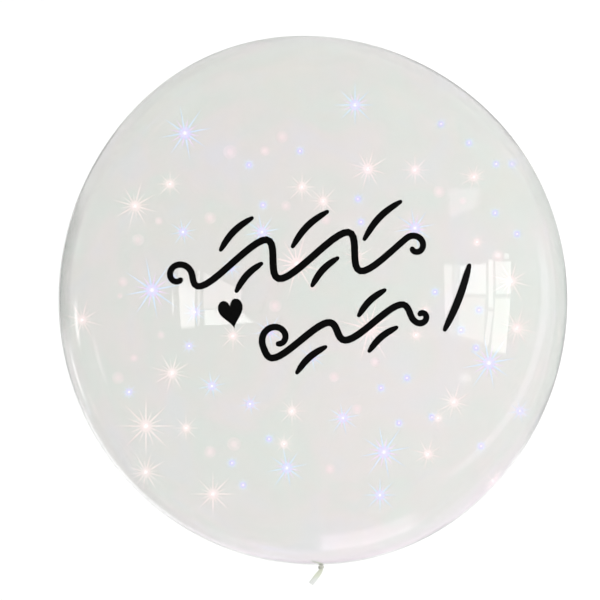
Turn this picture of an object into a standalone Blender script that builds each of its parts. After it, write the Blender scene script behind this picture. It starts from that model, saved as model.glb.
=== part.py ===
"""A clear bubble balloon, lying on its back, with black vinyl scrolls and a heart stuck to its front.

The balloon's axis runs along Y, with the crown at +Y and the tied neck at -Y. The front faces +Z.
The origin is the middle of the small flat spot that it lies on.
"""
import math

import bmesh
import bpy
from mathutils import Vector

# The film envelope, in metres
WIDTH = 0.500                  # across the widest section
CROWN_LENGTH = 0.260           # from the widest section to the crown
NECK_LENGTH = 0.260            # from the widest section to the start of the neck
CROWN_DRIFT = -0.0088          # how far along X the crown sits from the axis, as the balloon isn't quite even
NECK_DRIFT = 0.0020            # how far along X the neck sits from the axis
CROWN_DRIFT_POWER = 4          # how late towards the crown the drift sets in
NECK_DRIFT_POWER = 8
FLAT_SPOT_RADIUS = 0.035       # of the flat spot on the underside
SEGMENTS = 60                  # facets around the axis
BODY_RINGS = 30                # rings from crown to neck
CROWN_CAP_ANGLE = 2.0          # degrees from the axis to the first ring

# The gathered neck and its short cut tail
PUCKER_RADIUS = 0.007          # where the film starts to turn into the neck
PUCKER_DEPTH = 0.0012          # how far the neck draws the film out
PUCKER_STEPS = (0.35, 0.70)    # shares of that depth with a ring of their own
NECK_RADIUS = 0.0016           # of the gathered film under the tie
PLEATS = 10                    # folds gathered round the neck
PLEAT_SHARE = 0.10             # depth of a fold at the neck, as a share of the neck's radius
PLEAT_REACH = 0.060            # distance from the axis where the folds have died out
PLEAT_FADE = 0.6               # how slowly the folds flatten away from the neck
TAIL_LENGTH = 0.018            # of the cut tail, along its bend
TAIL_WIDTH = 0.0048            # across the flattened tail
TAIL_THICKNESS = 0.0014        # through the flattened tail
TAIL_BEND = 38.0               # degrees that the tail turns towards -X
TAIL_DROOP = 12.0              # degrees that the tail hangs below the axis
TAIL_TURN_SHARE = 0.15         # of the tail's length, over which it turns
TAIL_FLAT_SHARE = 0.5          # of the tail's length, over which it flattens
TAIL_RINGS = 7

# The wound tie
THREAD = 0.0008                # thickness of its thread
WRAPS = 4                      # turns side by side
TIE_STEPS = 24                 # facets around the neck
WRAP_POINTS = 4                # points on the outer side of one turn

# The vinyl decals. Places on the front are shares of ARTWORK_WIDTH from the artwork's middle.
ARTWORK_WIDTH = 0.283          # from the first curl to the slanted bar
ARTWORK_RISE = 0.0098          # of the artwork's own middle towards the crown
VINYL_THICKNESS = 0.0005
STROKE_WIDTH = 0.0068
STROKE_TIP = 0.8               # width at a stroke's ends, as a share
DASH_WIDTH = 0.0066
DASH_TIP = 0.6
BAR_WIDTH = 0.0074
HEART_WIDTH = 0.0235
HEART_HEIGHT = 0.0275
HEART_TILT = 10.0              # degrees anticlockwise
HEART_POINTS = 28              # points on the outline
HEART_RINGS = (0.30, 0.66, 1.0)
CREST_SLANT = 0.62             # how far a crest leans for its height
CURL_TIGHTNESS = 0.3           # a curl's last radius as a share of its first
DASH_BOW = 0.08                # how far a dash bows, as a share of its length
BAR_BOW = 0.03
TURN_PER_POINT = 15.0          # degrees between the points of a curl
POINTS_PER_CREST = 20
DASH_POINTS = 8
END_ANGLES = (80.0, 45.0)      # degrees, of the sections that round a stroke's ends

GAP = 0.0003                   # between pieces that touch
SHARP_EDGE = 40.0              # degrees between faces that meet in a sharp edge
MERGE_DISTANCE = 0.00001

HALF_WIDTH = WIDTH / 2
AXIS_HEIGHT = math.sqrt(HALF_WIDTH ** 2 - FLAT_SPOT_RADIUS ** 2)
TIE_WIDTH = WRAPS * THREAD
NECK_START = NECK_LENGTH + PUCKER_DEPTH

FILM_COLOUR = (0.86, 0.87, 0.85)
TIE_COLOUR = (0.16, 0.16, 0.12)
VINYL_COLOUR = (0.008, 0.008, 0.009)


def clear_scene():
    for thing in list(bpy.data.objects):
        bpy.data.objects.remove(thing, do_unlink=True)


def new_collection(name):
    collection = bpy.data.collections.new(name)
    bpy.context.scene.collection.children.link(collection)
    return collection


def new_material(name, colour, roughness, transmission=0.0):
    material = bpy.data.materials.new(name)
    material.use_nodes = True
    shader = material.node_tree.nodes["Principled BSDF"]
    shader.inputs["Base Color"].default_value = (*colour, 1.0)
    shader.inputs["Roughness"].default_value = roughness
    shader.inputs["Metallic"].default_value = 0.0
    shader.inputs["Transmission Weight"].default_value = transmission
    material.diffuse_color = (*colour, 1.0)
    return material


def add_mesh(name, mesh, collection, material):
    thing = bpy.data.objects.new(name, mesh)
    mesh.materials.append(material)
    collection.objects.link(thing)
    return thing


def loft(name, rings, collection, material, smooth=True):
    """A closed solid through rings of equal numbers of points, with a flat end on the first and the last."""
    body = bmesh.new()
    loops = [[body.verts.new(point) for point in ring] for ring in rings]
    for near, far in zip(loops, loops[1:]):
        for index, corner in enumerate(near):
            body.faces.new((near[index - 1], corner, far[index], far[index - 1]))
    body.faces.new(loops[0])
    body.faces.new(loops[-1])
    bmesh.ops.recalc_face_normals(body, faces=body.faces)
    mesh = bpy.data.meshes.new(name)
    body.to_mesh(mesh)
    body.free()
    if smooth:
        mesh.shade_smooth()
        mesh.set_sharp_from_angle(angle=math.radians(SHARP_EDGE))
    return add_mesh(name, mesh, collection, material)


def pleat_share(radius):
    """Depth of the gathered folds, as a share of the radius there."""
    fade = max(0.0, 1 - radius / PLEAT_REACH) ** 2
    return PLEAT_SHARE * (NECK_RADIUS / radius) ** PLEAT_FADE * fade


def film_ring(centre, side, across, through, pleats):
    """One section of the film, square to its path, with the folds as waves in its radius."""
    up = Vector((0, 0, 1))
    ring = []
    for index in range(SEGMENTS):
        angle = 2 * math.pi * index / SEGMENTS
        fold = 1 + pleats * math.cos(PLEATS * angle)
        ring.append(centre + fold * (side * across * math.cos(angle) + up * through * math.sin(angle)))
    return ring


def on_axis(y):
    """The middle of the film's section at y."""
    if y > 0:
        drift = CROWN_DRIFT * (y / CROWN_LENGTH) ** CROWN_DRIFT_POWER
    else:
        drift = NECK_DRIFT * min(1.0, -y / NECK_LENGTH) ** NECK_DRIFT_POWER
    return Vector((drift, y, AXIS_HEIGHT))


def body_rings():
    """Rings of the inflated part, from the crown to where the film puckers."""
    first = math.radians(CROWN_CAP_ANGLE)
    last = math.pi - math.asin(PUCKER_RADIUS / HALF_WIDTH)
    side = Vector((1, 0, 0))
    for index in range(BODY_RINGS + 1):
        angle = first + (last - first) * index / BODY_RINGS
        length = CROWN_LENGTH if angle < math.pi / 2 else NECK_LENGTH
        radius = HALF_WIDTH * math.sin(angle)
        centre = on_axis(length * math.cos(angle))
        pleats = pleat_share(radius) if angle > math.pi / 2 else 0.0
        yield film_ring(centre, side, radius, radius, pleats)


def neck_rings():
    """Rings of the puckered film and of the gathered neck under the tie."""
    side = Vector((1, 0, 0))
    for share in PUCKER_STEPS:
        radius = NECK_RADIUS + (PUCKER_RADIUS - NECK_RADIUS) * (1 - share) ** 2
        centre = on_axis(-NECK_LENGTH - share * PUCKER_DEPTH)
        yield film_ring(centre, side, radius, radius, pleat_share(radius))
    for distance in (NECK_START, NECK_START + TIE_WIDTH + 2 * GAP):
        yield film_ring(on_axis(-distance), side, NECK_RADIUS, NECK_RADIUS, PLEAT_SHARE)


def tail_rings():
    """Rings of the cut tail, which flattens, bends to one side and droops."""
    place = on_axis(-NECK_START - TIE_WIDTH - 2 * GAP)
    step = TAIL_LENGTH / TAIL_RINGS
    for index in range(1, TAIL_RINGS + 1):
        share = index / TAIL_RINGS
        bend = math.radians(TAIL_BEND) * min(1.0, share / TAIL_TURN_SHARE)
        droop = math.radians(TAIL_DROOP) * share
        along = Vector((-math.sin(bend), -math.cos(bend), -math.sin(droop))).normalized()
        place = place + along * step
        side = Vector((math.cos(bend), -math.sin(bend), 0))
        spread = math.sin(math.pi / 2 * min(1.0, share / TAIL_FLAT_SHARE))
        across = NECK_RADIUS + (TAIL_WIDTH / 2 - NECK_RADIUS) * spread
        through = NECK_RADIUS + (TAIL_THICKNESS / 2 - NECK_RADIUS) * spread
        yield film_ring(place, side, across, through, PLEAT_SHARE)


def make_flat_spot(film, cutters):
    """Cuts the underside flat at the height of the origin."""
    body = bmesh.new()
    bmesh.ops.create_cube(body, size=1.0)
    depth = HALF_WIDTH - AXIS_HEIGHT
    for corner in body.verts:
        corner.co.x *= 4 * FLAT_SPOT_RADIUS
        corner.co.y *= 4 * FLAT_SPOT_RADIUS * max(CROWN_LENGTH, NECK_LENGTH) / HALF_WIDTH
        corner.co.z = (corner.co.z - 0.5) * 4 * depth
    mesh = bpy.data.meshes.new("flat_spot_cutter")
    body.to_mesh(mesh)
    body.free()
    cutter = bpy.data.objects.new("flat_spot_cutter", mesh)
    cutter.hide_render = True
    cutter.display_type = "WIRE"
    cutters.objects.link(cutter)
    cut = film.modifiers.new("flat_spot", "BOOLEAN")
    cut.operation = "DIFFERENCE"
    cut.solver = "EXACT"
    cut.object = cutter


def make_film(collection, cutters):
    material = new_material("clear_film", FILM_COLOUR, 0.05, transmission=1.0)
    rings = [*body_rings(), *neck_rings(), *tail_rings()]
    film = loft("balloon_film", rings, collection, material)
    make_flat_spot(film, cutters)


def make_tie(collection):
    """Turns of thread side by side round the neck, as one turned ring with a ridge for each turn."""
    inner = NECK_RADIUS * (1 + PLEAT_SHARE) + GAP
    outline = []
    for wrap in range(WRAPS):
        middle = TIE_WIDTH / 2 - (wrap + 0.5) * THREAD
        for index in range(WRAP_POINTS):
            angle = math.pi * (index + 0.5) / WRAP_POINTS
            outline.append((inner + THREAD / 2 * (1 + math.sin(angle)), middle + THREAD / 2 * math.cos(angle)))
    outline.append((inner, -TIE_WIDTH / 2 + THREAD / 4))
    outline.append((inner, TIE_WIDTH / 2 - THREAD / 4))
    body = bmesh.new()
    corners = [body.verts.new((across, 0, along)) for across, along in outline]
    for index in range(len(corners)):
        body.edges.new((corners[index - 1], corners[index]))
    mesh = bpy.data.meshes.new("neck_tie")
    body.to_mesh(mesh)
    body.free()
    tie = add_mesh("neck_tie", mesh, collection, new_material("tie_thread", TIE_COLOUR, 0.6))
    tie.location = on_axis(-NECK_START - TIE_WIDTH / 2 - GAP)
    tie.rotation_euler = (math.pi / 2, 0, 0)
    turn = tie.modifiers.new("turned", "SCREW")
    turn.steps = TIE_STEPS
    turn.render_steps = TIE_STEPS
    turn.use_merge_vertices = True
    turn.merge_threshold = MERGE_DISTANCE
    turn.use_smooth_shade = True


def on_front(x, y, lift):
    """The point over (x, y) on the front of the envelope, lifted off the film by a distance."""
    length = CROWN_LENGTH if y > 0 else NECK_LENGTH
    half = HALF_WIDTH + lift
    across = x - on_axis(y).x
    rise = half * math.sqrt(1 - (across / half) ** 2 - (y / (length + lift)) ** 2)
    return Vector((x, y, AXIS_HEIGHT + rise))


def artwork(x, y):
    return Vector((x, y)) * ARTWORK_WIDTH + Vector((0, ARTWORK_RISE))


def wave(start, end, height, crests, phase):
    """A row of leaning crests between two points of the front."""
    count = round(crests * POINTS_PER_CREST)
    points = []
    for index in range(count + 1):
        share = index / count
        rise = height * math.sin(2 * math.pi * crests * share + math.radians(phase))
        points.append(start.lerp(end, share) + Vector((CREST_SLANT * rise, rise)))
    return points


def curl(points, radius, turn):
    """Winds a stroke's end into a curl that tightens to a share of its first radius."""
    heading = math.atan2(*reversed(points[-1] - points[-2]))
    count = math.ceil(abs(turn) / TURN_PER_POINT)
    step = math.radians(turn) / count
    wound = list(points)
    for index in range(count):
        reach = radius * (1 - (1 - CURL_TIGHTNESS) * (index + 0.5) / count) * abs(step)
        heading += step
        middle = heading - step / 2
        wound.append(wound[-1] + reach * Vector((math.cos(middle), math.sin(middle))))
    return wound


def scroll(start, end, height, crests, phase, first_curl, last_curl):
    """A wave with a curl at each end. A curl is a radius and the degrees that it turns."""
    points = wave(start, end, height, crests, phase)
    points = curl(points, *last_curl)
    return curl(points[::-1], *first_curl)[::-1]


def dash(start, end, bow=DASH_BOW):
    """A short stroke that bows to its left by a share of its length."""
    across = Vector((start.y - end.y, end.x - start.x))
    points = []
    for index in range(DASH_POINTS + 1):
        share = index / DASH_POINTS
        points.append(start.lerp(end, share) + across * bow * math.sin(math.pi * share))
    return points


def stroke_sections(points, width, tip):
    """The middle, direction and half-width of each section of a stroke, with its ends rounded."""
    lengths = [0.0]
    for near, far in zip(points, points[1:]):
        lengths.append(lengths[-1] + (far - near).length)
    sections = []
    for index, point in enumerate(points):
        ahead = points[min(index + 1, len(points) - 1)]
        behind = points[max(index - 1, 0)]
        share = lengths[index] / lengths[-1]
        half = width / 2 * (tip + (1 - tip) * math.sqrt(abs(math.sin(math.pi * share))))
        sections.append((point, (ahead - behind).normalized(), half))
    first, last = sections[0], sections[-1]
    start = [(first[0] - first[1] * first[2] * math.sin(a), first[1], first[2] * math.cos(a))
             for a in map(math.radians, END_ANGLES)]
    end = [(last[0] + last[1] * last[2] * math.sin(a), last[1], last[2] * math.cos(a))
           for a in map(math.radians, reversed(END_ANGLES))]
    return start + sections + end


def make_stroke(name, points, width, tip, collection, material):
    """A flat ribbon of vinyl that follows the film under it."""
    rings = []
    for middle, along, half in stroke_sections(points, width, tip):
        side = Vector((-along.y, along.x)) * half
        left, right = middle + side, middle - side
        rings.append([on_front(*left, GAP), on_front(*right, GAP),
                      on_front(*right, GAP + VINYL_THICKNESS), on_front(*left, GAP + VINYL_THICKNESS)])
    loft(name, rings, collection, material)


def heart_outline():
    """A heart one unit wide and high about its middle, anticlockwise."""
    outline = []
    for index in range(HEART_POINTS):
        t = 2 * math.pi * index / HEART_POINTS
        across = math.sin(t) ** 3 / 2
        rise = (13 * math.cos(t) - 5 * math.cos(2 * t) - 2 * math.cos(3 * t) - math.cos(4 * t)) / 29 + 0.09
        outline.append((across, rise))
    return outline


def make_heart(middle, collection, material):
    tilt = math.radians(HEART_TILT)
    outline = heart_outline()
    layers = [(share, GAP) for share in HEART_RINGS]
    layers += [(share, GAP + VINYL_THICKNESS) for share in reversed(HEART_RINGS)]
    rings = []
    for share, lift in layers:
        ring = []
        for across, rise in outline:
            x = share * across * HEART_WIDTH
            y = share * rise * HEART_HEIGHT
            ring.append(on_front(middle.x + x * math.cos(tilt) - y * math.sin(tilt),
                                 middle.y + x * math.sin(tilt) + y * math.cos(tilt), lift))
        rings.append(ring)
    loft("heart_decal", rings, collection, material)


def make_decals(collection):
    vinyl = new_material("black_vinyl", VINYL_COLOUR, 0.35)
    upper = scroll(artwork(-0.379, 0.084), artwork(0.289, 0.131), 0.069 * ARTWORK_WIDTH, 2.5, 205,
                   (0.046 * ARTWORK_WIDTH, 310), (0.039 * ARTWORK_WIDTH, -290))
    make_stroke("scroll_upper", upper, STROKE_WIDTH, STROKE_TIP, collection, vinyl)
    lower = scroll(artwork(-0.176, -0.194), artwork(0.352, -0.077), 0.042 * ARTWORK_WIDTH, 2.2, 165,
                   (0.052 * ARTWORK_WIDTH, -300), (0.026 * ARTWORK_WIDTH, 270))
    make_stroke("scroll_lower", lower, STROKE_WIDTH, STROKE_TIP, collection, vinyl)

    upper_dashes = (((-0.301, 0.137), (-0.197, 0.238)), ((-0.065, 0.142), (0.050, 0.253)),
                    ((0.170, 0.161), (0.292, 0.282)), ((-0.252, 0.001), (-0.169, 0.088)),
                    ((-0.004, 0.013), (0.080, 0.100)))
    lower_dashes = (((0.146, -0.088), (0.232, -0.008)), ((-0.060, -0.270), (0.034, -0.189)),
                    ((0.178, -0.205), (0.268, -0.131)))
    for row, dashes in (("upper", upper_dashes), ("lower", lower_dashes)):
        for number, (start, end) in enumerate(dashes, 1):
            points = dash(artwork(*start), artwork(*end))
            make_stroke(f"{row}_dash_{number}", points, DASH_WIDTH, DASH_TIP, collection, vinyl)

    bar = dash(artwork(0.516, 0.067), artwork(0.429, -0.141), bow=BAR_BOW)
    make_stroke("slanted_bar", bar, BAR_WIDTH, DASH_TIP, collection, vinyl)
    make_heart(artwork(-0.270, -0.075), collection, vinyl)


def main():
    clear_scene()
    balloon = new_collection("bubble_balloon")
    cutters = new_collection("cutters")
    make_film(balloon, cutters)
    make_tie(balloon)
    make_decals(balloon)


main()
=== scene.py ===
"""The looks of a clear bubble balloon that lies on its back on a white floor, seen from straight above.

The balloon's axis runs along Y, with the crown at +Y, and its front faces +Z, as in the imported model.
"""
import math
import random

import bmesh
import bpy
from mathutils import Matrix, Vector


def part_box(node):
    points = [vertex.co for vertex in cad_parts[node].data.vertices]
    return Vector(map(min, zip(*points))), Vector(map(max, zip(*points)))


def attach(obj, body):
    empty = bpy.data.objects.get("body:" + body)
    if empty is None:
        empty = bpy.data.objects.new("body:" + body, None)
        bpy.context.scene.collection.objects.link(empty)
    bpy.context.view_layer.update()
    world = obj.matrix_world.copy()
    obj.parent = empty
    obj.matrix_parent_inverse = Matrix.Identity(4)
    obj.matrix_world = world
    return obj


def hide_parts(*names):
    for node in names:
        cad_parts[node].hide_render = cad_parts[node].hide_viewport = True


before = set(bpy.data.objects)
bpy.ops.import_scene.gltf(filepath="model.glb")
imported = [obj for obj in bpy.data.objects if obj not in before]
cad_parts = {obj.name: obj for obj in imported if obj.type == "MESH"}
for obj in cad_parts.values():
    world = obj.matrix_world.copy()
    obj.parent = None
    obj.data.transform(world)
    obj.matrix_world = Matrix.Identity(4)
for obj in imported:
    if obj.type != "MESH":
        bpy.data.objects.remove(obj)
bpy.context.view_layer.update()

# The envelope, read from the frame, and its neck, as the model has it
LOW, HIGH = (Vector(corner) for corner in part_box("balloon_film"))
HALF_WIDTH = (HIGH.x - LOW.x) / 2
AXIS_HEIGHT = HIGH.z - HALF_WIDTH
CROWN_LENGTH = HIGH.y
NECK_LENGTH = 0.260
CROWN_DRIFT = -0.0088
NECK_DRIFT = 0.0020
CROWN_DRIFT_POWER = 4
NECK_DRIFT_POWER = 8
PUCKER_RADIUS = 0.007
PUCKER_DEPTH = 0.0012
NECK_RADIUS = 0.0016
THREAD = 0.0008
WRAPS = 4
TIE_WIDTH = WRAPS * THREAD
KNOT_SIZE = 0.0014
TAIL_LENGTH = 0.018
TAIL_WIDTH = 0.0048
TAIL_THICKNESS = 0.0014
TAIL_BEND = 38.0
TAIL_DROOP = 12.0
TAIL_TURN_SHARE = 0.15
TAIL_FLAT_SHARE = 0.5
GAP = 0.0003
NECK_START = NECK_LENGTH + PUCKER_DEPTH
TAIL_START = NECK_START + TIE_WIDTH + 2 * GAP
WALL = 0.00015

# The photograph's view, in its pixels
PHOTO_SIDE = 600
MIDDLE_PX = (313.0, 300.0)
HALF_WIDTH_PX = 254.5
LEAN = math.radians(1.3)       # how far the balloon's axis leans in the picture
CAMERA_DISTANCE = 4.0
SENSOR = 36.0                  # millimetres, as the lens is
VIEW_END = 200.0               # metres to the farthest thing that the camera shows
DRIFT_STEPS = 3                # tries that it takes to find the film where its middle drifts
FOCAL_PX = HALF_WIDTH_PX * math.sqrt(CAMERA_DISTANCE ** 2 - HALF_WIDTH ** 2) / HALF_WIDTH


def photo_offset(u, v, depth):
    """How far a pixel lies from the picture's middle, across and up the balloon, at a depth."""
    across = (u - PHOTO_SIDE / 2) / FOCAL_PX * depth
    up = -(v - PHOTO_SIDE / 2) / FOCAL_PX * depth
    turned_across = across * math.cos(LEAN) + up * math.sin(LEAN)
    turned_up = -across * math.sin(LEAN) + up * math.cos(LEAN)
    return Vector((turned_across, turned_up))


CAMERA_PLACE = Vector((*-photo_offset(*MIDDLE_PX, CAMERA_DISTANCE), AXIS_HEIGHT + CAMERA_DISTANCE))


def pixel_ray(u, v):
    """The direction in which the camera sees a pixel."""
    return Vector((*photo_offset(u, v, 1.0), -1.0)).normalized()


def on_axis(y):
    """The middle of the film's section at y."""
    if y > 0:
        drift = CROWN_DRIFT * (y / CROWN_LENGTH) ** CROWN_DRIFT_POWER
    else:
        drift = NECK_DRIFT * min(1.0, -y / NECK_LENGTH) ** NECK_DRIFT_POWER
    return Vector((drift, y, AXIS_HEIGHT))


def ellipsoid_hits(start, ray, inset):
    """The distances at which a ray meets the envelope round the origin, moved inwards by an inset."""
    found = []
    for length, side in ((CROWN_LENGTH, 1), (NECK_LENGTH, -1)):
        size = Vector((HALF_WIDTH - inset, length - inset, HALF_WIDTH - inset))
        near = Vector(a / b for a, b in zip(start, size))
        step = Vector(a / b for a, b in zip(ray, size))
        half = near.dot(step) / step.length_squared
        rest = half ** 2 - (near.length_squared - 1) / step.length_squared
        if rest < 0:
            continue
        for distance in (-half - math.sqrt(rest), -half + math.sqrt(rest)):
            if (start + ray * distance).y * side >= 0:
                found.append(distance)
    return found


def film_hit(u, v, inset=0.0, far=False):
    """Where a pixel's ray meets the envelope, moved inwards by an inset, on its near or far side.

    None where it misses.
    """
    ray = pixel_ray(u, v)
    middle = on_axis(0.0)
    for attempt in range(DRIFT_STEPS):
        found = ellipsoid_hits(CAMERA_PLACE - middle, ray, inset)
        if not found:
            return None
        point = CAMERA_PLACE + ray * (max if far else min)(found)
        middle.x = on_axis(point.y).x
    return point


def film_normal(point):
    """The direction straight out of the film at a point on it."""
    length = CROWN_LENGTH if point.y > 0 else NECK_LENGTH
    across = point.x - on_axis(point.y).x
    rise = point.z - AXIS_HEIGHT
    return Vector((across / HALF_WIDTH ** 2, point.y / length ** 2, rise / HALF_WIDTH ** 2)).normalized()


def reflected(u, v, distance):
    """The place, at a distance from the film, that a pixel shows mirrored in the front of the balloon."""
    point = film_hit(u, v)
    return point + pixel_ray(u, v).reflect(film_normal(point)) * distance


def new_object(name, mesh, *materials):
    """Puts a mesh into the scene, with its materials."""
    thing = bpy.data.objects.new(name, mesh)
    bpy.context.scene.collection.objects.link(thing)
    for material in materials:
        mesh.materials.append(material)
    return thing


def mesh_from(name, points, faces, smooth=True):
    """A mesh from its points and faces."""
    mesh = bpy.data.meshes.new(name)
    mesh.from_pydata([tuple(p) for p in points], [], faces)
    mesh.validate()
    if smooth:
        mesh.shade_smooth()
    return mesh


def new_material(name):
    """A material, its node tree and its main shader."""
    material = bpy.data.materials.new(name)
    material.use_nodes = True
    return material, material.node_tree, material.node_tree.nodes["Principled BSDF"]


def set_values(shader, **values):
    """Sets the shader's plain values, named with underscores for spaces."""
    for name, value in values.items():
        shader.inputs[name.replace("_", " ")].default_value = value


def noise_node(tree, scale, detail=3.0, distortion=0.0):
    """A noise over the object's own coordinates."""
    place = tree.nodes.new("ShaderNodeTexCoord")
    noise = tree.nodes.new("ShaderNodeTexNoise")
    noise.inputs["Scale"].default_value = scale
    noise.inputs["Detail"].default_value = detail
    noise.inputs["Distortion"].default_value = distortion
    tree.links.new(place.outputs["Object"], noise.inputs["Vector"])
    return noise


def ramp_node(tree, source, *stops):
    """Turns a value into colours, by stops that each have a place and a colour."""
    ramp = tree.nodes.new("ShaderNodeValToRGB")
    band = ramp.color_ramp
    while len(band.elements) < len(stops):
        band.elements.new(0.5)
    for element, (place, colour) in zip(band.elements, stops):
        element.position = place
        element.color = (*colour, 1.0)
    tree.links.new(source, ramp.inputs["Fac"])
    return ramp


def bump_node(tree, source, strength, distance):
    """Turns a value into fine relief."""
    bump = tree.nodes.new("ShaderNodeBump")
    bump.inputs["Strength"].default_value = strength
    bump.inputs["Distance"].default_value = distance
    tree.links.new(source, bump.inputs["Height"])
    return bump


# The clear film

FILM_SEGMENTS = 192
FILM_RINGS = 120
FIRST_RING = 0.5               # degrees from the axis to the first ring at the crown
NECK_STEPS = 7                 # from the pucker to the neck
TAIL_STEPS = 28
PLEATS = 24
PLEAT_SHARE = 0.10             # depth of a fold at the neck, as a share of the neck's radius
PLEAT_REACH = 0.060            # distance from the axis where the folds have died out
PLEAT_FADE = 0.6               # how slowly the folds flatten away from the neck
FINE_FOLD = 0.7                # share of the depth that every fold has
BROAD_FOLD = 0.3               # share of it that only every second fold has
BROAD_FOLD_TURN = 1.0
FLOOR_CLEARANCE = 0.0002
FILM_TINTS = ((0.30, (0.835, 0.835, 0.813)), (0.42, (0.820, 0.838, 0.823)), (0.50, (0.838, 0.831, 0.822)),
              (0.58, (0.852, 0.826, 0.823)), (0.70, (0.840, 0.829, 0.852)))
RIM_LIGHTENING = (0.78, 0.93, 1.0)    # how grazing the view is where the tint starts and ends to turn white, how far: painted lightening of the outline
MIX_TINT, MIX_LIGHTENED, MIX_RESULT = 6, 7, 2    # the colour sockets of a mix node
NECK_TINTS = ((0.0, (0.58, 0.59, 0.50)), (0.42, (0.63, 0.65, 0.56)), (0.58, (0.66, 0.67, 0.65)),
              (1.0, (0.70, 0.70, 0.70)))
NECK_TINT_SHARE = 0.9          # of the tail's length, over which its tint changes


def film_material():
    """Clear film in pale patches, its tint whitened where it is seen edge on: painted lightening of the
    outline.
    """
    material, tree, shader = new_material("clear_film")
    noise = noise_node(tree, scale=11.0, detail=2.0, distortion=1.0)
    tint = ramp_node(tree, noise.outputs["Fac"], *FILM_TINTS)
    edge = tree.nodes.new("ShaderNodeLayerWeight")
    share = tree.nodes.new("ShaderNodeMapRange")
    for name, value in zip(("From Min", "From Max", "To Max"), RIM_LIGHTENING):
        share.inputs[name].default_value = value
    tree.links.new(edge.outputs["Facing"], share.inputs["Value"])
    # Whitens the tint at grazing views: painted lightening of the outline
    rim_lightening = tree.nodes.new("ShaderNodeMix")
    rim_lightening.data_type = "RGBA"
    rim_lightening.inputs[MIX_LIGHTENED].default_value = (1.0, 1.0, 1.0, 1.0)
    tree.links.new(share.outputs["Result"], rim_lightening.inputs["Factor"])
    tree.links.new(tint.outputs["Color"], rim_lightening.inputs[MIX_TINT])
    tree.links.new(rim_lightening.outputs[MIX_RESULT], shader.inputs["Base Color"])
    ripple = noise_node(tree, scale=9.0, detail=1.0)
    bump = bump_node(tree, ripple.outputs["Fac"], strength=0.15, distance=0.004)
    tree.links.new(bump.outputs["Normal"], shader.inputs["Normal"])
    set_values(shader, Roughness=0.02, IOR=1.45, Transmission_Weight=1.0)
    return material


def gathered_material():
    """The bunched film of the neck and tail: milky, yellowish near the tie and greyer at the cut end."""
    material, tree, shader = new_material("gathered_film")
    place = tree.nodes.new("ShaderNodeTexCoord")
    along = tree.nodes.new("ShaderNodeSeparateXYZ")
    tree.links.new(place.outputs["Object"], along.inputs["Vector"])
    share = tree.nodes.new("ShaderNodeMapRange")
    share.inputs["From Min"].default_value = -TAIL_START
    share.inputs["From Max"].default_value = -TAIL_START - TAIL_LENGTH * NECK_TINT_SHARE
    tree.links.new(along.outputs["Y"], share.inputs["Value"])
    colour = ramp_node(tree, share.outputs["Result"], *NECK_TINTS)
    tree.links.new(colour.outputs["Color"], shader.inputs["Base Color"])
    folds = noise_node(tree, scale=900.0, detail=2.0)
    bump = bump_node(tree, folds.outputs["Fac"], strength=0.5, distance=0.0004)
    tree.links.new(bump.outputs["Normal"], shader.inputs["Normal"])
    set_values(shader, Roughness=0.35, IOR=1.45, Transmission_Weight=0.3)
    return material


def pleat(radius, angle):
    """The gathered folds round the neck, as a share of the radius."""
    fade = max(0.0, 1 - radius / PLEAT_REACH) ** 2
    depth = PLEAT_SHARE * (NECK_RADIUS / radius) ** PLEAT_FADE * fade
    broad = math.cos(PLEATS / 2 * angle + BROAD_FOLD_TURN)
    return 1 + depth * (FINE_FOLD * math.cos(PLEATS * angle) + BROAD_FOLD * broad)


def film_ring(centre, side, across, through, folded=True):
    """A ring round the axis with two half widths, one along a side and one upright, kept above the floor."""
    ring = []
    for index in range(FILM_SEGMENTS):
        angle = 2 * math.pi * index / FILM_SEGMENTS
        fold = pleat(across, angle) if folded else 1.0
        reach = side * across * math.cos(angle) + Vector((0, 0, 1)) * through * math.sin(angle)
        point = centre + fold * reach
        point.z = max(point.z, FLOOR_CLEARANCE)
        ring.append(point)
    return ring


def envelope_rings(inset):
    """Rings from the crown to the pucker, moved inwards by an inset."""
    first = math.radians(FIRST_RING)
    last = math.pi - math.asin(PUCKER_RADIUS / HALF_WIDTH)
    for index in range(FILM_RINGS + 1):
        angle = first + (last - first) * index / FILM_RINGS
        length = (CROWN_LENGTH if angle < math.pi / 2 else NECK_LENGTH) - inset
        radius = (HALF_WIDTH - inset) * math.sin(angle)
        centre = on_axis(length * math.cos(angle))
        ring = film_ring(centre, Vector((1, 0, 0)), radius, radius, angle > math.pi / 2)
        for point in ring:
            point.z = max(point.z, FLOOR_CLEARANCE + inset)
        yield ring


def neck_rings():
    """Rings of the puckered film, the gathered neck and the cut tail."""
    for step in range(1, NECK_STEPS):
        share = step / NECK_STEPS
        radius = NECK_RADIUS + (PUCKER_RADIUS - NECK_RADIUS) * (1 - share) ** 2
        yield film_ring(on_axis(-NECK_LENGTH - share * PUCKER_DEPTH), Vector((1, 0, 0)), radius, radius)
    for share in (0, 0.5, 1):
        centre = on_axis(-NECK_START - share * (TAIL_START - NECK_START))
        yield film_ring(centre, Vector((1, 0, 0)), NECK_RADIUS, NECK_RADIUS)
    place = on_axis(-TAIL_START)
    for step in range(1, TAIL_STEPS + 1):
        share = step / TAIL_STEPS
        bend = math.radians(TAIL_BEND) * min(1.0, share / TAIL_TURN_SHARE)
        droop = math.radians(TAIL_DROOP) * share
        along = Vector((-math.sin(bend), -math.cos(bend), -math.sin(droop))).normalized()
        place = place + along * TAIL_LENGTH / TAIL_STEPS
        side = Vector((math.cos(bend), -math.sin(bend), 0))
        spread = math.sin(math.pi / 2 * min(1.0, share / TAIL_FLAT_SHARE))
        yield film_ring(place, side, NECK_RADIUS + (TAIL_WIDTH / 2 - NECK_RADIUS) * spread,
                        NECK_RADIUS + (TAIL_THICKNESS / 2 - NECK_RADIUS) * spread)


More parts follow.
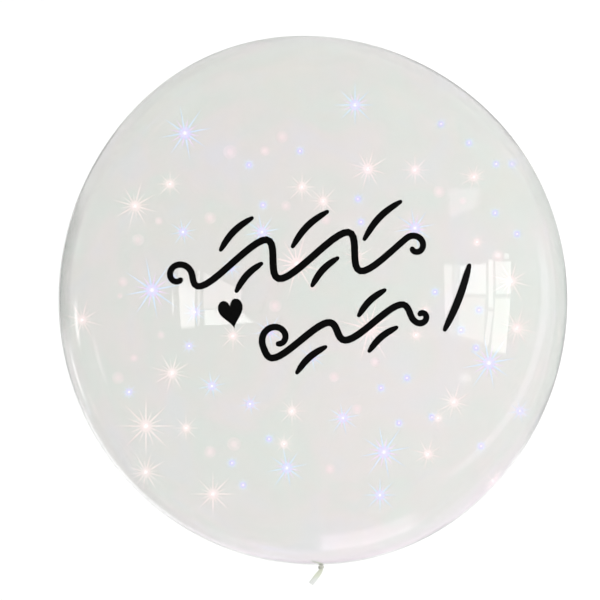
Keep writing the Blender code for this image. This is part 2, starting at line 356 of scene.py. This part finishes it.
def close_rings(rings, points, faces, inwards=False):
    """Adds a closed skin through rings of points."""
    start = len(points)
    for ring in rings:
        points.extend(ring)
    count = FILM_SEGMENTS
    skin = [list(range(start, start + count))]
    for row in range(len(rings) - 1):
        base = start + row * count
        for index in range(count):
            following = (index + 1) % count
            skin.append([base + index, base + following, base + count + following, base + count + index])
    skin.append(list(range(start + (len(rings) - 1) * count, start + len(rings) * count))[::-1])
    skin[0] = skin[0][::-1]
    skin[-1] = skin[-1][::-1]
    faces.extend([face[::-1] for face in skin] if inwards else skin)


def make_film():
    """The envelope as a thin wall, with its neck and tail of gathered film."""
    points, faces = [], []
    close_rings([*envelope_rings(0.0), *neck_rings()], points, faces)
    close_rings(list(envelope_rings(WALL)), points, faces, inwards=True)
    mesh = mesh_from("film_shell", points, faces)
    film = new_object("film_shell", mesh, film_material(), gathered_material())
    for face in mesh.polygons:
        face.material_index = int(face.center.y < -NECK_START)
    film.visible_shadow = False
    film.visible_diffuse = False
    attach(film, "root")
    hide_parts("balloon_film")


# The vinyl and the tie

TURN_STEPS = 36                # points in one turn of the thread
KNOT_STEPS = 72
KNOT_RISE = 1.2                # of the knot's middle above the windings, in threads
COIL_TIGHTNESS = 0.98          # thickness of the wound thread as a share, so that its turns don't touch
KNOT_TIGHTNESS = 0.9
THREAD_SIDES = 10
VINYL_TONES = ((0.3, (0.0015, 0.0015, 0.0015)), (0.7, (0.003, 0.003, 0.003)))
THREAD_TONES = ((0.2, (0.42, 0.42, 0.37)), (0.8, (0.60, 0.60, 0.55)))


def vinyl_material():
    """Satin black vinyl with a very fine grain."""
    material, tree, shader = new_material("black_vinyl")
    noise = noise_node(tree, scale=900.0)
    bump = bump_node(tree, noise.outputs["Fac"], strength=0.2, distance=0.0002)
    tree.links.new(bump.outputs["Normal"], shader.inputs["Normal"])
    colour = ramp_node(tree, noise.outputs["Fac"], *VINYL_TONES)
    tree.links.new(colour.outputs["Color"], shader.inputs["Base Color"])
    set_values(shader, Roughness=0.45, Specular_IOR_Level=0.02)
    return material


def thread_material():
    """Dull thread with a slanted twist."""
    material, tree, shader = new_material("tie_thread")
    twist = tree.nodes.new("ShaderNodeTexWave")
    twist.bands_direction = "DIAGONAL"
    twist.inputs["Scale"].default_value = 900.0
    twist.inputs["Distortion"].default_value = 2.0
    place = tree.nodes.new("ShaderNodeTexCoord")
    tree.links.new(place.outputs["Object"], twist.inputs["Vector"])
    bump = bump_node(tree, twist.outputs["Fac"], strength=0.6, distance=0.0002)
    tree.links.new(bump.outputs["Normal"], shader.inputs["Normal"])
    colour = ramp_node(tree, twist.outputs["Fac"], *THREAD_TONES)
    tree.links.new(colour.outputs["Color"], shader.inputs["Base Color"])
    set_values(shader, Roughness=0.7, Specular_IOR_Level=0.3)
    return material


def sweep(path, radius, points, faces, closed=False):
    """Adds a round tube along a path."""
    sides = THREAD_SIDES
    start = len(points)
    count = len(path)
    side = Vector((0, 0, 1))
    for index, place in enumerate(path):
        ahead = path[(index + 1) % count] if closed else path[min(index + 1, count - 1)]
        behind = path[index - 1] if closed or index else path[0]
        along = (ahead - behind).normalized()
        side = (side - along * side.dot(along)).normalized()
        other = along.cross(side)
        for corner in range(sides):
            angle = 2 * math.pi * corner / sides
            points.append(place + radius * (side * math.cos(angle) + other * math.sin(angle)))
    for index in range(count if closed else count - 1):
        near, far = start + index * sides, start + (index + 1) % count * sides
        for corner in range(sides):
            after = (corner + 1) % sides
            faces.append((near + corner, near + after, far + after, far + corner))
    if not closed:
        faces.append(tuple(range(start, start + sides))[::-1])
        faces.append(tuple(range(start + (count - 1) * sides, start + count * sides)))


def make_tie():
    """Thread wound round the neck, with a small three-lobed knot on top."""
    reach = NECK_RADIUS * (1 + PLEAT_SHARE) + GAP + THREAD / 2
    steps = WRAPS * TURN_STEPS
    coil = []
    for index in range(steps + 1):
        angle = 2 * math.pi * WRAPS * index / steps
        along = -NECK_START - GAP - THREAD / 2 - (WRAPS - 1) * THREAD * index / steps
        coil.append(on_axis(along) + reach * Vector((math.sin(angle), 0, math.cos(angle))))
    middle = on_axis(-NECK_START - TIE_WIDTH / 2 - GAP) + Vector((0, 0, reach + KNOT_RISE * THREAD))
    knot = []
    for index in range(KNOT_STEPS):
        t = 2 * math.pi * index / KNOT_STEPS
        knot.append(middle + KNOT_SIZE / 3 * Vector((math.sin(t) + 2 * math.sin(2 * t),
                                                     math.cos(t) - 2 * math.cos(2 * t), -math.sin(3 * t))))
    points, faces = [], []
    sweep(coil, THREAD / 2 * COIL_TIGHTNESS, points, faces)
    sweep(knot, THREAD / 2 * KNOT_TIGHTNESS, points, faces, closed=True)
    tie = new_object("wound_tie", mesh_from("wound_tie", points, faces), thread_material())
    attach(tie, "root")
    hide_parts("neck_tie")


def dress_decals():
    """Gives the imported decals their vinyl."""
    vinyl = vinyl_material()
    for name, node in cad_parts.items():
        if name not in ("balloon_film", "neck_tie"):
            node.data.materials.clear()
            node.data.materials.append(vinyl)


# Painted glints inside the film: star-shaped flakes, rings and soft dots that glow by their own emission.
# Each is drawn in the photograph's pixels and laid flat against the near or the far inner side of the film.

GLINT_SEED = 7
FLAKE_INSET = 0.0012
FLAKE_THICKNESS = 0.00012
FLAKE_SIDES = 18
LAYERS = 6                     # finishes that lie one under the other
LAYER_STEP = 0.0003
PULL_IN = 0.985                # the share by which a point outside the outline moves inwards, step by step
FAR_STARS = (3, 2)             # one in so many lies on the far side, counted from this one
FAR_RINGS = (3, 1)
FAR_DOTS = (2, 1)

# Stars as column, row and reach, rings as column and row, and dots as column, row and radius, in pixels
BLUE_STARS = ((185, 133, 25), (152, 290, 27), (287, 468, 19), (384, 452, 24), (489, 363, 24), (415, 228, 20),
              (269, 331, 15), (212, 386, 13), (250, 404, 11), (312, 357, 13), (343, 418, 15), (520, 411, 11),
              (195, 312, 12), (183, 232, 13), (262, 232, 17), (231, 268, 10))
UPRIGHT_BLUE_STARS = ((355, 105, 20), (380, 495, 16), (129, 392, 8), (189, 346, 8))
PINK_STARS = ((146, 472, 20), (135, 206, 21), (172, 373, 20), (82, 320, 18), (368, 169, 19), (474, 177, 14),
              (357, 257, 15), (511, 281, 19), (517, 328, 18), (369, 329, 30), (425, 310, 9), (416, 335, 9),
              (454, 402, 17), (428, 454, 15), (297, 264, 28))
UPRIGHT_PINK_STARS = ((146, 426, 28), (213, 494, 20), (415, 170, 15), (302, 187, 15), (323, 201, 15),
                      (170, 184, 13), (477, 242, 9), (438, 418, 10), (497, 485, 14), (186, 428, 13),
                      (292, 411, 14), (284, 444, 11), (233, 336, 14))
RINGS = ((249, 165), (263, 205), (172, 278), (300, 151), (441, 124), (469, 143), (496, 164), (512, 164),
         (495, 213), (517, 234), (358, 199), (361, 222), (435, 292), (479, 310), (461, 330), (476, 348),
         (232, 463), (243, 485), (269, 439), (407, 378), (381, 388), (399, 423), (432, 417), (481, 446))
SOFT_DOTS = ((230, 152, 7), (265, 151, 5), (282, 137, 6), (210, 218, 6), (159, 221, 4), (123, 282, 5),
             (118, 378, 6), (210, 452, 6), (234, 444, 7), (334, 377, 5), (357, 409, 5), (330, 469, 5),
             (375, 362, 5), (498, 256, 6), (138, 240, 6), (120, 296, 3), (161, 335, 4), (134, 358, 4),
             (439, 192, 6), (463, 201, 4), (286, 206, 5), (275, 306, 6), (326, 220, 5), (313, 287, 4))

# Glint finishes as a glowing colour, which paints the glint, and how much of what lies behind they hide
WHITE = (1.0, 1.0, 1.0)
BLUE_RINGS = (((0.80, 0.77, 1.0), 0.65), ((0.70, 0.67, 1.0), 0.50), ((0.66, 0.62, 0.97), 0.28))
PINK_RINGS = (((0.97, 0.87, 0.89), 0.68), ((0.94, 0.78, 0.81), 0.30), ((0.92, 0.78, 0.80), 0.12))
DOT_RINGS = (((0.65, 0.59, 0.90), 0.90), ((0.66, 0.62, 0.90), 0.40))
BLUE_RAY = (0.62, 0.76, 0.97)
LILAC_RAY = (0.83, 0.65, 0.93)
PINK_RAY = (0.99, 0.83, 0.82)
DOT = (0.93, 0.75, 0.78)
RAY_COVER = 0.82
PINK_RAY_COVER = 0.60
DOT_COVER = 0.52
DOT_EDGE_COVER = 0.26
# Emission of the flakes, which paints their glints
PAINTED_GLINT_GLOW = 1.3
FLAKE_TONES = (0.05, 0.075)    # shares of its colour that a flake has beside its glow, from patch to patch

# The flakes' own sizes, in pixels where nothing else is said
RAYS = 8                       # long rays of a star, with as many shorter ones between them
BLUE_TURN = 10.5               # degrees of a star's first long ray, the same in most of one colour
PINK_TURN = 30.0
UPRIGHT_TURN = 0.0
LONG_RAYS = (1.05, 1.28)       # shares of a star's reach, from the shortest to the longest
SHORT_RAYS = (0.62, 0.80)
STAR_CORE = (0.35, 0.042)      # pixels, and pixels more for each pixel of the star's reach
STAR_RINGS = (0, 1, 1.8, 3.0, 4.8)    # edges of the core and the rings round it, in cores
LONG_RAY_WIDTH = (1.0, 0.05)
SHORT_RAY_WIDTH = (0.9, 0.045)
DOT_RING_EDGES = (0, 0.75, 2.3, 3.3)    # edges of a small flake's core and the rings round it
DOT_RAY_REACHES = (8.0, 5.5)
DOT_RAY_START = 2.0
DOT_RAY_WIDTH = 1.0
DOT_CORE = 0.45                # of a soft dot's radius, where it is strongest
DOT_GAP = 0.05                 # pixels between its core and its edge


class Flakes:
    """Thin glowing flakes of one finish, painted glints, gathered into one piece."""

    def __init__(self, name, colour, cover, layer):
        self.name = name
        self.layer = layer
        self.points = []
        self.faces = []
        self.material = flake_material(name, colour, cover)

    def place(self, u, v, depth, far):
        """Adds a point by the inner side of the film, under a pixel or the nearest one inside the outline."""
        step = (self.layer * LAYER_STEP + depth) * (-1 if far else 1)
        middle = Vector(MIDDLE_PX)
        away = Vector((u, v)) - middle
        inset = FLAKE_INSET + LAYERS * LAYER_STEP * far + step
        point = None
        while point is None:
            point = film_hit(*(middle + away), inset, far)
            away *= PULL_IN
        point.z = max(point.z, FLOOR_CLEARANCE + inset)
        self.points.append(point)

    def ring(self, u, v, inner, outer, far):
        """Adds a flat ring, or a disc where its inner radius is zero."""
        sides = FLAKE_SIDES
        rows = []
        for depth in (-FLAKE_THICKNESS / 2, FLAKE_THICKNESS / 2):
            for radius in ((outer, inner) if inner else (outer,)):
                rows.append(range(len(self.points), len(self.points) + sides))
                for index in range(sides):
                    angle = 2 * math.pi * index / sides
                    self.place(u + radius * math.cos(angle), v + radius * math.sin(angle), depth, far)
        loops = [rows[0], rows[1], rows[3], rows[2]] if inner else [rows[0], rows[1]]
        if inner:
            loops.append(rows[0])
        else:
            self.faces.append(tuple(rows[0])[::-1])
            self.faces.append(tuple(rows[1]))
        for near, after in zip(loops, loops[1:]):
            for index in range(sides):
                self.faces.append((near[index - 1], near[index], after[index], after[index - 1]))

    def ray(self, u, v, angle, start, end, width, far):
        """Adds a thin ray that tapers to a point."""
        first = len(self.points)
        du, dv = math.cos(angle), math.sin(angle)
        for side, depth in ((1, 0), (0, -1), (-1, 0), (0, 1)):
            self.place(u + du * start - dv * width / 2 * side, v + dv * start + du * width / 2 * side,
                       depth * FLAKE_THICKNESS / 2, far)
        self.place(u + du * end, v + dv * end, 0, far)
        for index in range(4):
            self.faces.append((first + index, first + (index + 1) % 4, first + 4))
        self.faces.append((first + 3, first + 2, first + 1, first))

    def finish(self):
        """Makes the flakes into one piece that rides with the balloon."""
        mesh = mesh_from(self.name, self.points, self.faces, smooth=False)
        body = bmesh.new()
        body.from_mesh(mesh)
        bmesh.ops.recalc_face_normals(body, faces=body.faces)
        body.to_mesh(mesh)
        body.free()
        piece = new_object(self.name, mesh, self.material)
        piece.visible_shadow = False
        piece.visible_diffuse = False
        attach(piece, "root")


def flake_material(name, colour, cover):
    """A glowing finish that paints a glint and hides a share of what is behind a flake, by its two sides
    together.
    """
    material, tree, shader = new_material(name)
    noise = noise_node(tree, scale=300.0)
    dim, pale = (tuple(share * value for value in colour) for share in FLAKE_TONES)
    tone = ramp_node(tree, noise.outputs["Fac"], (0.3, dim), (0.7, pale))
    tree.links.new(tone.outputs["Color"], shader.inputs["Base Color"])
    # The emission paints the glint's light
    set_values(shader, Roughness=0.4, Specular_IOR_Level=0.0, Emission_Color=(*colour, 1.0),
               Emission_Strength=PAINTED_GLINT_GLOW, Alpha=1 - math.sqrt(1 - cover))
    material.cycles.emission_sampling = "NONE"
    return material


def grown(size, reach):
    """A size in pixels that grows with a star's reach."""
    return size[0] + size[1] * reach


def add_star(place, rings, rays, turn, far, draw):
    """A star-shaped glowing flake, a painted glint: a core, pale rings round it, and long rays with shorter
    ones between them.
    """
    u, v, reach = place
    core = grown(STAR_CORE, reach)
    for flakes, inner, outer in zip(rings, STAR_RINGS, STAR_RINGS[1:]):
        flakes.ring(u, v, inner * core, outer * core, far)
    kinds = ((rays[0], LONG_RAYS, LONG_RAY_WIDTH), (rays[1], SHORT_RAYS, SHORT_RAY_WIDTH))
    for index in range(2 * RAYS):
        flakes, shares, width = kinds[index % 2]
        angle = -math.radians(turn + index * 180 / RAYS)
        flakes.ray(u, v, angle, core, reach * draw.uniform(*shares), grown(width, reach), far)


def add_ring_dot(u, v, rings, flakes, far):
    """A small glowing flake, a painted glint: a core, a strong ring round it, and short thin rays."""
    for ring, inner, outer in zip(rings, DOT_RING_EDGES, DOT_RING_EDGES[1:]):
        ring.ring(u, v, inner, outer, far)
    for index in range(2 * RAYS):
        angle = index * math.pi / RAYS
        flakes.ray(u, v, angle, DOT_RAY_START, DOT_RAY_REACHES[index % 2], DOT_RAY_WIDTH, far)


def is_far(number, every):
    """Whether a flake lies on the far side of the film, by its number in its list."""
    count, first = every
    return number % count == first


# The glowing flakes: painted glints on the inner side of the film
def make_painted_glints():
    draw = random.Random(GLINT_SEED)
    cores = Flakes("painted_glint_cores", WHITE, 1.0, 0)
    blue = [Flakes(f"painted_glint_blue_ring_{n}", *finish, n) for n, finish in enumerate(BLUE_RINGS, 1)]
    pink = [Flakes(f"painted_glint_pink_ring_{n}", *finish, n) for n, finish in enumerate(PINK_RINGS, 1)]
    dot_rings = [Flakes(f"painted_glint_dot_ring_{n}", *finish, n) for n, finish in enumerate(DOT_RINGS, 1)]
    blue_rays = Flakes("painted_glint_blue_rays", BLUE_RAY, RAY_COVER, 4)
    lilac_rays = Flakes("painted_glint_lilac_rays", LILAC_RAY, RAY_COVER, 4)
    pink_rays = Flakes("painted_glint_pink_rays", PINK_RAY, PINK_RAY_COVER, 4)
    dots = Flakes("painted_glint_dots", DOT, DOT_COVER, 5)
    dot_edges = Flakes("painted_glint_dot_edges", DOT, DOT_EDGE_COVER, 5)
    blue_finish = ((cores, *blue), (blue_rays, lilac_rays))
    pink_finish = ((cores, *pink), (pink_rays, pink_rays))
    kinds = ((BLUE_STARS, BLUE_TURN, blue_finish), (UPRIGHT_BLUE_STARS, UPRIGHT_TURN, blue_finish),
             (PINK_STARS, PINK_TURN, pink_finish), (UPRIGHT_PINK_STARS, UPRIGHT_TURN, pink_finish))
    for stars, turn, finish in kinds:
        for number, place in enumerate(stars):
            add_star(place, *finish, turn, is_far(number, FAR_STARS), draw)
    for number, (u, v) in enumerate(RINGS):
        add_ring_dot(u, v, (cores, *dot_rings), blue_rays, is_far(number, FAR_RINGS))
    for number, (u, v, radius) in enumerate(SOFT_DOTS):
        far = is_far(number, FAR_DOTS)
        dots.ring(u, v, 0, DOT_CORE * radius, far)
        dot_edges.ring(u, v, DOT_CORE * radius + DOT_GAP, radius, far)
    for flakes in (cores, *blue, *pink, *dot_rings, blue_rays, lilac_rays, pink_rays, dots, dot_edges):
        flakes.finish()


# The room: floor, backdrop, lights, and cards that show only as reflections in the front of the film

FLOOR_HALF = 24.0
FLOOR_HEIGHT = -0.0006
FLOOR_SHADE = 0.86
DOME_RADIUS = 22.0
DOME_SINK = 0.5                # metres that the dome's rim lies below the floor
DOME_GLOW = 1.03
DOME_COLUMNS = 48
DOME_ROWS = 12
ROOM_TONES = ((0.15, (0.40, 0.42, 0.39)), (0.50, (0.60, 0.61, 0.59)), (0.85, (0.82, 0.80, 0.82)))
ROOM_SLOPE = (0.25, -0.20, -0.26)    # how the room brightens along each axis
ROOM_SCALE = 3.0
ROOM_PATCHES = 0.5             # how strongly the room's tone varies from patch to patch
KEY_STRENGTH = 2.1
KEY_SPREAD = 70.0              # degrees
KEY_LEAN = 15.0
KEY_HEIGHT = 3.0
POOL_POWER = 27.0
POOL_PLACE = (0.10, -0.03, 2.0)
POOL_ANGLE = 20.5
POOL_SOFTNESS = 0.3
SIDE_POWER = 3.0
SIDE_PLACE = (1.1, 0.0, 1.0)
SIDE_TARGET = (0.2, 0.0, 0.0)
SIDE_SIZE = 0.8


def make_floor():
    """A wide pale floor just under the balloon."""
    points = [(x * FLOOR_HALF, y * FLOOR_HALF, FLOOR_HEIGHT) for x, y in ((-1, -1), (1, -1), (1, 1), (-1, 1))]
    material, tree, shader = new_material("floor")
    set_values(shader, Base_Color=(FLOOR_SHADE, FLOOR_SHADE, FLOOR_SHADE, 1.0), Roughness=0.9,
               Specular_IOR_Level=0.0)
    floor = new_object("floor", mesh_from("floor", points, [(0, 1, 2, 3)], smooth=False), material)
    floor.visible_glossy = False


def make_backdrop():
    """A pale dome that closes off the floor at the horizon."""
    points, faces = [], []
    columns, rows = DOME_COLUMNS, DOME_ROWS
    for row in range(rows + 1):
        rise = math.pi / 2 * row / rows
        for column in range(columns):
            angle = 2 * math.pi * column / columns
            reach = DOME_RADIUS * math.cos(rise)
            height = DOME_RADIUS * math.sin(rise) - DOME_SINK
            points.append((reach * math.cos(angle), reach * math.sin(angle), height))
    for row in range(rows):
        for column in range(columns):
            after = (column + 1) % columns
            faces.append((row * columns + column, row * columns + after, (row + 1) * columns + after,
                          (row + 1) * columns + column))
    material, tree, shader = new_material("backdrop")
    set_values(shader, Base_Color=(0.0, 0.0, 0.0, 1.0), Specular_IOR_Level=0.0,
               Emission_Color=(1.0, 1.0, 1.0, 1.0), Emission_Strength=DOME_GLOW)
    material.cycles.emission_sampling = "NONE"
    dome = new_object("backdrop", mesh_from("backdrop", points, faces), material)
    dome.visible_glossy = False
    dome.visible_diffuse = False
    dome.visible_shadow = False


def make_world():
    """The dim room that the film mirrors: darker to the left, brighter to the right and below."""
    world = bpy.data.worlds.new("studio")
    bpy.context.scene.world = world
    world.use_nodes = True
    tree = world.node_tree
    place = tree.nodes.new("ShaderNodeTexCoord")
    slope = tree.nodes.new("ShaderNodeVectorMath")
    slope.operation = "DOT_PRODUCT"
    slope.inputs[1].default_value = ROOM_SLOPE
    tree.links.new(place.outputs["Generated"], slope.inputs[0])
    noise = tree.nodes.new("ShaderNodeTexNoise")
    noise.inputs["Scale"].default_value = ROOM_SCALE
    noise.inputs["Detail"].default_value = 1.0
    tree.links.new(place.outputs["Generated"], noise.inputs["Vector"])
    tone = tree.nodes.new("ShaderNodeMath")
    tone.operation = "MULTIPLY_ADD"
    tone.inputs[1].default_value = ROOM_PATCHES
    tree.links.new(noise.outputs["Fac"], tone.inputs[0])
    tree.links.new(slope.outputs["Value"], tone.inputs[2])
    centred = tree.nodes.new("ShaderNodeMath")
    centred.inputs[1].default_value = 0.5 - ROOM_PATCHES / 2
    tree.links.new(tone.outputs["Value"], centred.inputs[0])
    ramp = ramp_node(tree, centred.outputs["Value"], *ROOM_TONES)
    tree.links.new(ramp.outputs["Color"], tree.nodes["Background"].inputs["Color"])


def add_light(name, data, place):
    """Puts a light into the scene that only lights the floor and the decals, and isn't seen itself."""
    light = bpy.data.objects.new(name, data)
    light.location = place
    light.visible_camera = False
    light.visible_glossy = False
    light.visible_transmission = False
    bpy.context.scene.collection.objects.link(light)
    return light


def make_lights():
    """A wide soft light from above, and two weaker ones for the floor below and on the right."""
    key = bpy.data.lights.new("key", "SUN")
    key.angle = math.radians(KEY_SPREAD)
    key.energy = KEY_STRENGTH
    add_light("key", key, (0, 0, KEY_HEIGHT)).rotation_euler = (0, math.radians(KEY_LEAN), 0)
    pool = bpy.data.lights.new("pool", "SPOT")
    pool.energy = POOL_POWER
    pool.spot_size = math.radians(POOL_ANGLE)
    pool.spot_blend = 1.0
    pool.shadow_soft_size = POOL_SOFTNESS
    add_light("pool", pool, POOL_PLACE)
    side = bpy.data.lights.new("side", "AREA")
    side.size = SIDE_SIZE
    side.energy = SIDE_POWER
    aim = (Vector(SIDE_TARGET) - Vector(SIDE_PLACE)).to_track_quat("-Z", "Y")
    add_light("side", side, SIDE_PLACE).rotation_euler = aim.to_euler()


def card_material(name, colour, strength):
    """Light that fades out at the card's edges, by the mesh's own fade values."""
    material = bpy.data.materials.new(name)
    material.use_nodes = True
    tree = material.node_tree
    tree.nodes.clear()
    glow = tree.nodes.new("ShaderNodeEmission")
    glow.inputs["Color"].default_value = (*colour, 1.0)
    glow.inputs["Strength"].default_value = strength
    clear = tree.nodes.new("ShaderNodeBsdfTransparent")
    fade = tree.nodes.new("ShaderNodeAttribute")
    fade.attribute_name = "fade"
    mix = tree.nodes.new("ShaderNodeMixShader")
    out = tree.nodes.new("ShaderNodeOutputMaterial")
    tree.links.new(fade.outputs["Fac"], mix.inputs["Fac"])
    tree.links.new(clear.outputs["BSDF"], mix.inputs[1])
    tree.links.new(glow.outputs["Emission"], mix.inputs[2])
    tree.links.new(mix.outputs["Shader"], out.inputs["Surface"])
    material.cycles.emission_sampling = "NONE"
    return material


def edge_fade(share, before, after):
    """Rises from 0 at either end of a card to 1 inside, over a soft share of the length at each end."""
    rise = min(1.0, share / before, (1 - share) / after)
    return rise * rise * (3 - 2 * rise)


CARD_DISTANCE = 0.60           # metres from the film to a card, along the mirrored ray
FRAME_DISTANCE = 0.62
FRONT_DISTANCE = 0.58
CARD_STEPS = (24, 16)          # faces across and down
LONG_STEPS = (60, 12)
LONGEST_STEPS = (90, 8)
BAND_STEPS = (40, 12)
STREAK_STEPS = (40, 8)
OUTLINE_TOLERANCE = 0.01       # pixels


def make_card(name, pixel_at, colour, strength, soft, distance=CARD_DISTANCE, steps=CARD_STEPS):
    """A card that shows only mirrored in the front of the film.

    It covers the pixels that pixel_at gives for a share across and a share down. Its four soft shares are
    those at the left, the right, the top and the bottom.
    """
    points, faces, fades = [], [], []
    columns, rows = steps
    left, right, top, bottom = soft
    for row in range(rows + 1):
        for column in range(columns + 1):
            across, down = column / columns, row / rows
            points.append(reflected(*pixel_at(across, down), distance))
            fades.append(edge_fade(across, left, right) * edge_fade(down, top, bottom))
    for row in range(rows):
        for column in range(columns):
            corner = row * (columns + 1) + column
            faces.append((corner, corner + 1, corner + columns + 2, corner + columns + 1))
    mesh = mesh_from(name, points, faces)
    mesh.attributes.new("fade", "FLOAT", "POINT").data.foreach_set("value", fades)
    card = new_object(name, mesh, card_material(name, colour, strength))
    card.visible_camera = False
    card.visible_diffuse = False
    card.visible_transmission = False
    card.visible_shadow = False


def quad(*corners):
    """Pixels inside four corners, given clockwise from the upper left."""
    upper_left, upper_right, lower_right, lower_left = (Vector(corner) for corner in corners)

    def pixel_at(across, down):
        return upper_left.lerp(upper_right, across).lerp(lower_left.lerp(lower_right, across), down)
    return pixel_at


def box(u, v, width, height):
    """Pixels of an upright box round a middle."""
    left, right = u - width / 2, u + width / 2
    top, bottom = v - height / 2, v + height / 2
    return quad((left, top), (right, top), (right, bottom), (left, bottom))


def outline_reach(angle):
    """How many pixels the balloon's outline lies from its middle, at an angle."""
    inside, outside = 0.0, 2 * HALF_WIDTH_PX
    while outside - inside > OUTLINE_TOLERANCE:
        reach = (inside + outside) / 2
        if film_hit(MIDDLE_PX[0] + reach * math.cos(angle), MIDDLE_PX[1] - reach * math.sin(angle)) is None:
            outside = reach
        else:
            inside = reach
    return inside


def arc(inner, outer, start, end, sink=0.0):
    """Pixels of a band round the balloon's middle, between two shares of its outline and two angles.

    The angles are in degrees. The band sinks inwards by a share of the outline towards its end.
    """

    def pixel_at(across, down):
        angle = math.radians(start + (end - start) * across)
        reach = (inner + (outer - inner) * down - sink * across ** 2) * outline_reach(angle)
        return MIDDLE_PX[0] + reach * math.cos(angle), MIDDLE_PX[1] - reach * math.sin(angle)
    return pixel_at


CREAM = (1.0, 0.985, 0.94)
LILAC = (0.98, 0.91, 1.0)
ROSE = (1.0, 0.94, 0.95)
MAUVE = (1.0, 0.88, 1.0)
GREEN = (0.9, 1.0, 0.95)
ALL_SOFT = (0.5, 0.5, 0.5, 0.5)
CRISP = (0.03, 0.03, 0.04, 0.04)

# The windows' panes: four corners in the photograph's pixels, a colour, a strength and soft edges
RIGHT_FRAME = ((441, 264), (511, 258), (505, 355), (448, 340))
RIGHT_PANES = (
    (((442.7, 262), (452.4, 262), (452.4, 330), (444, 336)), ROSE, 4.2, (0.2, 0.06, 0.08, 0.4)),
    (((453.8, 263), (458.2, 263), (458.6, 305), (454.2, 305)), WHITE, 2.6, (0.1, 0.1, 0.1, 0.3)),
    (((459.6, 265), (487.2, 262), (487.2, 295), (459.2, 295)), WHITE, 5.2, CRISP),
    (((459.2, 295.6), (486.8, 295.6), (484.0, 344), (457.2, 337)), CREAM, 3.5, CRISP),
    (((488.9, 258), (493.8, 258), (494.0, 310), (488.6, 310)), ROSE, 5.0, (0.1, 0.1, 0.05, 0.01)),
    (((488.6, 310), (494.0, 310), (488.0, 350), (483.6, 346)), ROSE, 4.4, (0.1, 0.1, 0.01, 0.1)),
    (((495.5, 260), (511, 260), (511, 295), (495.7, 295)), WHITE, 4.2, CRISP),
    (((495.7, 295.8), (511, 295.8), (506, 356), (490.2, 353)), CREAM, 4.5, CRISP),
    (((503.5, 252.7), (509.5, 252.7), (509.5, 259.4), (503.5, 259.4)), WHITE, 3.2, (0.2, 0.2, 0.2, 0.2)))
LEFT_PANES = (
    (((171.5, 290), (174, 285), (174.5, 318), (172, 316)), WHITE, 4.2, (0.3, 0.3, 0.4, 0.3)),
    (((176.5, 257), (195.5, 265.5), (195.5, 329), (181, 331)), ROSE, 6.0, (0.06, 0.03, 0.5, 0.04)),
    (((197.5, 268), (200.5, 269), (200.5, 326), (197.5, 328)), ROSE, 3.4, (0.2, 0.2, 0.05, 0.05)),
    (((203, 271), (243, 289), (240, 310), (203, 310)), ROSE, 3.4, CRISP),
    (((203.5, 309), (240, 309), (258, 323), (204, 326)), WHITE, 5.8, (0.05, 0.15, 0.1, 0.06)))


def make_windows():
    """Two windows mirrored in the film, each as panes, the right one over a paler frame."""
    make_card("right_frame", quad(*RIGHT_FRAME), ROSE, 1.9, (0.05, 0.03, 0.08, 0.10), FRAME_DISTANCE)
    for side, panes in (("right", RIGHT_PANES), ("left", LEFT_PANES)):
        for number, (corners, colour, strength, soft) in enumerate(panes, 1):
            make_card(f"{side}_pane_{number}", quad(*corners), colour, strength, soft)


# Softer lights in the film: a name, the pixels they cover, a colour, a strength, soft edges and steps
HIGHLIGHTS = (
    ("arc_right", arc(0.888, 0.945, 24, -64, 0.088), LILAC, 1.4, (0.2, 0.2, 0.4, 0.4), LONG_STEPS),
    ("edge_right", arc(0.945, 0.998, 46, -36), GREEN, 0.66, (0.3, 0.3, 0.4, 0.05), LONG_STEPS),
    ("arc_bottom", arc(0.92, 0.998, -30, -128), MAUVE, 1.05, (0.2, 0.3, 0.5, 0.05), LONG_STEPS),
    ("rim_low", arc(0.984, 0.9997, -20, -165), WHITE, 1.2, (0.1, 0.1, 0.5, 0.02), LONGEST_STEPS),
    ("streak_left_dark", arc(0.948, 0.997, 153, 192), GREEN, 0.25, (0.3, 0.3, 0.4, 0.1), BAND_STEPS),
    ("streak_left_white_1", arc(0.922, 0.945, 178, 193), WHITE, 2.2, (0.4, 0.4, 0.5, 0.5), STREAK_STEPS),
    ("streak_left_white_2", arc(0.962, 0.982, 188, 208), WHITE, 1.4, (0.4, 0.4, 0.5, 0.5), STREAK_STEPS),
    ("streak_left_white_3", arc(0.86, 0.885, 184, 206), WHITE, 1.2, (0.4, 0.4, 0.5, 0.5), STREAK_STEPS),
    ("patch_rose", quad((445, 184), (486, 184), (484, 206), (447, 224)), MAUVE, 2.0, (0.15, 0.3, 0.2, 0.2),
     CARD_STEPS),
    ("patch_lilac", box(347, 232, 28, 38), LILAC, 1.8, ALL_SOFT, CARD_STEPS),
    ("spot_right", box(498, 255, 12, 10), ROSE, 3.5, ALL_SOFT, CARD_STEPS),
    ("spot_low", box(465, 378, 22, 18), WHITE, 3.0, ALL_SOFT, CARD_STEPS))


def make_highlights():
    """The softer lights, and one more in front of them at the bottom."""
    for name, pixel_at, colour, strength, soft, steps in HIGHLIGHTS:
        make_card(name, pixel_at, colour, strength, soft, steps=steps)
    patch = arc(0.87, 0.965, -90, -60)
    make_card("patch_bottom", patch, MAUVE, 1.7, (0.1, 0.3, 0.3, 0.3), FRONT_DISTANCE)


def make_camera():
    """The photograph's view, from straight above the balloon."""
    data = bpy.data.cameras.new("camera")
    data.sensor_width = SENSOR
    data.lens = FOCAL_PX / PHOTO_SIDE * SENSOR
    data.clip_end = VIEW_END
    camera = bpy.data.objects.new("camera", data)
    camera.location = CAMERA_PLACE
    camera.rotation_euler = (0, 0, -LEAN)
    bpy.context.scene.collection.objects.link(camera)
    bpy.context.scene.camera = camera


make_film()
make_tie()
dress_decals()
make_painted_glints()
make_floor()
make_backdrop()
make_world()
make_lights()
make_windows()
make_highlights()
make_camera()
bpy.context.scene.view_settings.view_transform = "Standard"
